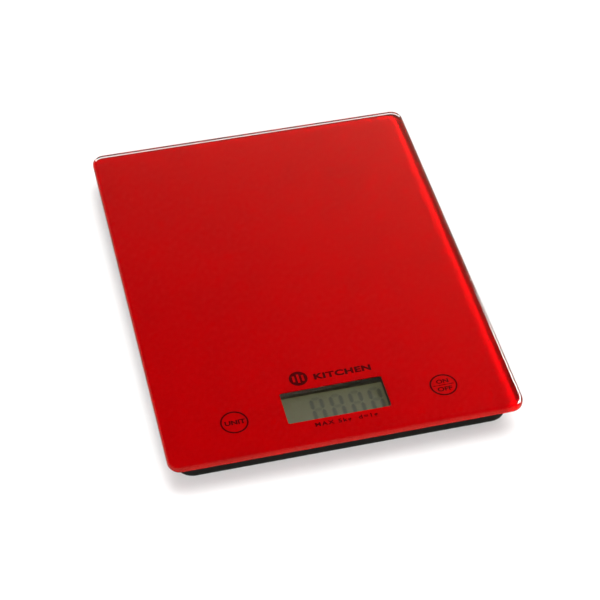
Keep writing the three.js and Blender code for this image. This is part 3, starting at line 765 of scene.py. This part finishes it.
INK = 0.02 * MM  # how far the label's print reaches to each side of its face


def make_foot(corner):
    """A soft rubber pad with three round grooves in its sole."""
    node = f"foot_pad_{corner}"
    low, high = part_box(node)
    centre = (low + high) / 2
    radius = (high.x - low.x) / 2
    edge = FOOT_EDGE
    slope = GROOVE["slope"]
    depth = low.z + GROOVE["depth"]
    profile = [(0, low.z)]
    for r in GROOVE["radii"]:
        inner, outer = r - GROOVE["half_width"], r + GROOVE["half_width"]
        profile += [(inner, low.z), (inner + slope, depth), (outer - slope, depth), (outer, low.z)]
    for i in range(FOOT_EDGE_STEPS + 1):
        a = math.radians(90 * i / FOOT_EDGE_STEPS)
        profile.append((radius - edge * (1 - math.sin(a)), low.z + edge * (1 - math.cos(a))))
    profile += [(radius, high.z), (0, high.z)]
    pad = lathe(f"grooved_pad_{corner}", profile, FOOT_SEGMENTS, (centre.x, centre.y))
    paint(pad, RUBBER)
    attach(pad, f"foot_{corner}")
    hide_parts(node)
    return pad


def make_screw(node):
    """A pan-head screw, head down, with a cross recess."""
    low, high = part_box(node)
    centre = (low + high) / 2
    radius = (high.x - low.x) / 2
    recess = low.z + SCREW["cross_depth"]
    slot, cross_end, shank = SCREW["slot"], SCREW["cross"], SCREW["shank"]
    rim = [2 * math.pi * i / SCREW_SEGMENTS for i in range(SCREW_SEGMENTS)]
    circle = [(centre.x + radius * math.cos(a), centre.y + radius * math.sin(a)) for a in rim]
    cross = []
    for c, n in ((1, 0), (0, 1), (-1, 0), (0, -1)):
        for along, side in ((slot, -slot), (cross_end, -slot), (cross_end, slot)):
            cross.append((centre.x + c * along - n * side, centre.y + n * along + c * side))
    face = curve_sheet(node + "_face", [circle, cross], low.z, recess)
    top = low.z + SCREW["head_height"]
    profile = [(0, recess), (radius, recess), (radius, top), (shank, top), (shank, high.z), (0, high.z)]
    body = lathe(node + "_body", profile, SCREW_SEGMENTS, (centre.x, centre.y))
    screw = joined(node.replace("housing_screw", "cross_head_screw"), [face, body])
    screw.data.shade_smooth()
    screw.data.set_sharp_from_angle(angle=CREASE_ANGLE)
    paint(screw, PLATED)
    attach(screw, BODY)
    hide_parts(node)
    return screw


def make_door_ridges():
    """Finger ridges across the battery door, next to its latch."""
    ridges = []
    low = DOOR_LOW.z - RIDGE["height"]
    profile = round_profile(low, DOOR_LOW.z + RIDGE["sink"], *RIDGE["edges"], 5)
    size = (RIDGE["half_length"], RIDGE["half_width"])
    for i in range(RIDGE["count"]):
        at = (0, DOOR_LOW.y + RIDGE["first"] + i * RIDGE["pitch"])
        ridges.append(rounded_slab("ridge", *size, RIDGE["corner"], profile, 6, at))
    grip = joined("door_finger_ridges", ridges)
    paint(grip, HOUSING)
    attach(grip, "battery_door")
    return grip


def make_label_rules():
    """A printed border and four empty lines on the blank label."""
    centre = (LABEL_LOW + LABEL_HIGH) / 2
    half = (LABEL_HIGH - LABEL_LOW) / 2
    low, high = LABEL_LOW.z - INK, LABEL_LOW.z + INK
    loops = []
    for inset in LABEL_BORDER:
        outline = rounded_outline(half.x - inset, half.y - inset, LABEL_CORNER, 6)
        loops.append([(centre.x + p.x, centre.y + p.y) for p, _ in outline])
    parts = [curve_sheet("border", loops, low, high)]
    reach = half.x - LABEL_RULE["inset"]
    x0, x1 = centre.x - reach, centre.x + reach
    for i in range(LABEL_RULE["count"]):
        y0 = centre.y + (i - (LABEL_RULE["count"] - 1) / 2) * LABEL_RULE["pitch"]
        y1 = y0 + LABEL_RULE["width"]
        rule = [(x0, y0), (x1, y0), (x1, y1), (x0, y1)]
        parts.append(curve_sheet("rule", [rule], low, high))
    rules = joined("label_rules", parts)
    paint(rules, make_plain("label_ink", (0.03, 0.03, 0.03), (0.045, 0.045, 0.045), 0.5))
    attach(rules, BODY)


# Carried CAD nodes with a little rounding on their edges, and its width.
SOFTENED = {"base_shell": 0.25 * MM, "battery_door": 0.2 * MM}
SOFTENED.update({f"foot_cup_{corner}": 0.3 * MM for corner in CORNERS})


def make_underside():
    """The pieces seen from below, and softer edges on the mouldings there. Returns the dark ones."""
    dark = [make_foot(corner) for corner in CORNERS]
    dark += [make_screw(node) for node in sorted(SLOT_OF) if node.startswith("housing_screw")]
    dark.append(make_door_ridges())
    make_label_rules()
    for node, width in SOFTENED.items():
        soften(frame["nodes"][node], width)
    return dark + [frame["nodes"][node] for node in SOFTENED]


# ---------- camera and studio ----------

CAMERA_SENSOR = 36
CAMERA_LENS = 112.51
CAMERA_CLIP = (0.01, 20)
CAMERA_PLACE = Vector((-0.14510, -0.59012, 0.60483 + GLASS_HIGH.z))
CAMERA_RIGHT = Vector((0.97167819, -0.23621746, 0.00654238))
CAMERA_DOWN = Vector((-0.16467914, -0.69674259, -0.69816226))
CAMERA_FORWARD = Vector((0.16947648, 0.67731165, -0.71590967))


def make_camera():
    data = bpy.data.cameras.new("camera")
    data.sensor_width = CAMERA_SENSOR
    data.lens = CAMERA_LENS
    data.clip_start, data.clip_end = CAMERA_CLIP
    camera = bpy.data.objects.new("camera", data)
    bpy.context.scene.collection.objects.link(camera)
    turn = Matrix((CAMERA_RIGHT, -CAMERA_DOWN, -CAMERA_FORWARD)).transposed()
    camera.matrix_world = Matrix.Translation(CAMERA_PLACE) @ turn.to_4x4()
    bpy.context.scene.camera = camera


def place_towards(obj, place, target):
    """Puts an object at place with its -Z side towards target."""
    aim = (Vector(target) - Vector(place)).to_track_quat("-Z", "Y")
    obj.matrix_world = Matrix.Translation(Vector(place)) @ aim.to_matrix().to_4x4()


def add_lamp(name, place, size_x, size_y, power):
    """A soft rectangular lamp aimed at the origin. It isn't seen through glass."""
    data = bpy.data.lights.new(name, "AREA")
    data.shape = "RECTANGLE"
    data.size = size_x
    data.size_y = size_y
    data.energy = power
    lamp = bpy.data.objects.new(name, data)
    lamp.visible_transmission = False
    bpy.context.scene.collection.objects.link(lamp)
    place_towards(lamp, place, (0, 0, 0))
    return lamp


def add_key_card(place, size_x, size_y, strength):
    """The key's other half: a glowing card that only lights what lies under the glass, by refraction."""
    mesh = bpy.data.meshes.new("key_card")
    x, y = size_x / 2, size_y / 2
    mesh.from_pydata([(-x, y, 0), (x, y, 0), (x, -y, 0), (-x, -y, 0)], [], [(0, 1, 2, 3)])
    card = new_object("key_card", mesh)
    glow = bpy.data.materials.new("key_card")
    glow.use_nodes = True
    tree = glow.node_tree
    tree.nodes.remove(tree.nodes["Principled BSDF"])
    emission = tree.nodes.new("ShaderNodeEmission")
    emission.inputs["Strength"].default_value = strength
    tree.links.new(emission.outputs["Emission"], tree.nodes["Material Output"].inputs["Surface"])
    glow.cycles.emission_sampling = "NONE"
    mesh.materials.append(glow)
    place_towards(card, place, (0, 0, 0))
    card.visible_camera = False
    card.visible_diffuse = False
    card.visible_glossy = False
    card.visible_shadow = False


def linked(name, objects, state):
    """A light-linking collection of those objects, all in one state."""
    group = bpy.data.collections.new(name)
    for obj in objects:
        group.objects.link(obj)
    for item in group.collection_objects:
        item.light_linking.link_state = state
    return group


KEY = {"place": Vector((0.80, 0.21, 0.76)), "size": (1.1, 0.62), "strength": 25.5}
KEY_CARD_PLACE = 0.98 * KEY["place"]  # just in front of the lamp
TOP = {"place": (0.15, 0.1, 1.3), "size": (1.2, 1.2), "power": 20}
FILL = {"place": (-0.45, -0.95, 0.65), "size": (0.8, 0.6), "power": 14}
UNDER = {"place": (0, 0.35, -0.9), "size": (0.5, 0.5), "power": 60}


def make_lamps(under_glass, underside, floor):
    """under_glass is lit through the glass by the card and the world, the rest by the lamps. One lamp
    shines from below the table on the underside alone, so that it shows when seen from underneath."""
    width, height = KEY["size"]
    power = math.pi * width * height * KEY["strength"]
    key = add_lamp("key", KEY["place"], width, height, power)
    add_key_card(KEY_CARD_PLACE, width, height, KEY["strength"])
    top = add_lamp("top_softbox", TOP["place"], *TOP["size"], TOP["power"])
    fill = add_lamp("front_fill", FILL["place"], *FILL["size"], FILL["power"])
    under = add_lamp("underside_fill", UNDER["place"], *UNDER["size"], UNDER["power"])
    for lamp in (top, fill, under):
        lamp.visible_glossy = False
    for lamp, spared in ((key, [*under_glass, floor]), (top, under_glass), (fill, under_glass)):
        lamp.light_linking.receiver_collection = linked(lamp.name + "_receivers", spared, "EXCLUDE")
    under.light_linking.receiver_collection = linked("underside_fill_receivers", underside, "INCLUDE")
    under.light_linking.blocker_collection = linked("underside_fill_blockers", [floor], "EXCLUDE")


# The room: bright near the horizon and dark overhead. A direction is a unit vector.
WORLD_COLOR = (1, 0.97, 0.72, 1)
SOFT_COLOR = (1, 1, 1, 1)  # for matt surfaces
BACKDROP_COLOR = (0.9, 0.9, 0.9, 1)
HORIZON_TILT = -0.24  # lets the bright part reach higher on the right
HORIZON_FALL = (0.537, 0.823)  # heights between which it falls to nothing
HORIZON_POWER = 3.9
FRONT_EDGE = (-0.5, 0.05)
LEFT_EDGE = (-0.6, -0.1)
TABLE_EDGE = (-0.05, 0.05)
BACK_LEVEL = 0.9
FRONT_LEVEL = 0.08
LEFT_SHARE = 0.3
BELOW_LEVEL = 0.3
SOFT_LEVEL = 1.0  # the least that matt surfaces get from the room, whatever the side


def make_world():
    world = bpy.data.worlds.new("studio")
    bpy.context.scene.world = world
    world.use_nodes = True
    tree = world.node_tree
    ray = tree.nodes.new("ShaderNodeTexCoord").outputs["Generated"]
    path = tree.nodes.new("ShaderNodeLightPath")
    split = tree.nodes.new("ShaderNodeSeparateXYZ")
    tree.links.new(ray, split.inputs["Vector"])
    x, y, z = (split.outputs[axis] for axis in "XYZ")

    height = math_node(tree, "MULTIPLY_ADD", x, HORIZON_TILT, z)
    glow = math_node(tree, "POWER", range_node(tree, height, HORIZON_FALL, (1.0, 0.0)), HORIZON_POWER)
    front = range_node(tree, y, FRONT_EDGE, (FRONT_LEVEL, BACK_LEVEL))
    left = range_node(tree, x, LEFT_EDGE, (LEFT_SHARE, 1.0))
    sides = math_node(tree, "MULTIPLY", front, left)
    even = math_node(tree, "MULTIPLY", path.outputs["Is Diffuse Ray"], SOFT_LEVEL)
    room = math_node(tree, "MAXIMUM", sides, even)
    level = range_node(tree, z, TABLE_EDGE, (BELOW_LEVEL, room))

    strength = math_node(tree, "MULTIPLY", glow, level)
    glossy = background_node(tree, WORLD_COLOR, strength)
    soft = background_node(tree, SOFT_COLOR, strength)
    light = mix_shaders(tree, path.outputs["Is Diffuse Ray"], glossy, soft)
    backdrop = background_node(tree, BACKDROP_COLOR, None)
    shader = mix_shaders(tree, path.outputs["Is Camera Ray"], light, backdrop)
    tree.links.new(shader, tree.nodes["World Output"].inputs["Surface"])


FLOOR_HALF = 4.0
FLOOR_COLORS = ((0.80, 0.80, 0.80), (0.82, 0.82, 0.82))
FLOOR_FADE = (0.7, 1.6)  # distances between which the backdrop takes over from it


def make_floor():
    """A matt floor that is solid from above and clear from below, and blends into the backdrop."""
    mesh = bpy.data.meshes.new("floor")
    size = FLOOR_HALF
    corners = [(-size, -size, 0), (size, -size, 0), (size, size, 0), (-size, size, 0)]
    mesh.from_pydata(corners, [], [(0, 1, 2, 3)])
    floor = new_object("floor", mesh)
    m = Material("pale_floor")
    m.set(roughness=0.9, specular=0.1)
    m.vary_color(m.noise(6, 3), *FLOOR_COLORS)
    see_through = m.node("ShaderNodeBsdfTransparent")
    facing = m.node("ShaderNodeNewGeometry")
    path = m.node("ShaderNodeLightPath")
    distance = m.node("ShaderNodeVectorMath", operation="LENGTH")
    m.link(m.coordinates, distance.inputs[0])
    far = m.spread(distance.outputs["Value"], 0.0, 1.0, at=FLOOR_FADE)
    blended = math_node(m.tree, "MULTIPLY", far, path.outputs["Is Camera Ray"])
    clear = math_node(m.tree, "MAXIMUM", facing.outputs["Backfacing"], blended)
    shader = mix_shaders(m.tree, clear, m.shader.outputs["BSDF"], see_through.outputs["BSDF"])
    m.link(shader, m.output.inputs["Surface"])
    paint(floor, m.material)
    floor.visible_glossy = False
    return floor


make_camera()
glazed_nodes = ("lcd_front_glass", "lcd_rear_glass", "lcd_gasket", "top_deck")
glazed = [frame["nodes"][name] for name in glazed_nodes]
glazed += [make_platform(), make_legends(), make_liner(), *make_segments()]
make_lamps(glazed, make_underside(), make_floor())
make_world()

bpy.context.scene.view_settings.view_transform = "Standard"
bpy.context.scene.cycles.blur_glossy = 0  # keeps the light that is refracted by the glass sharp
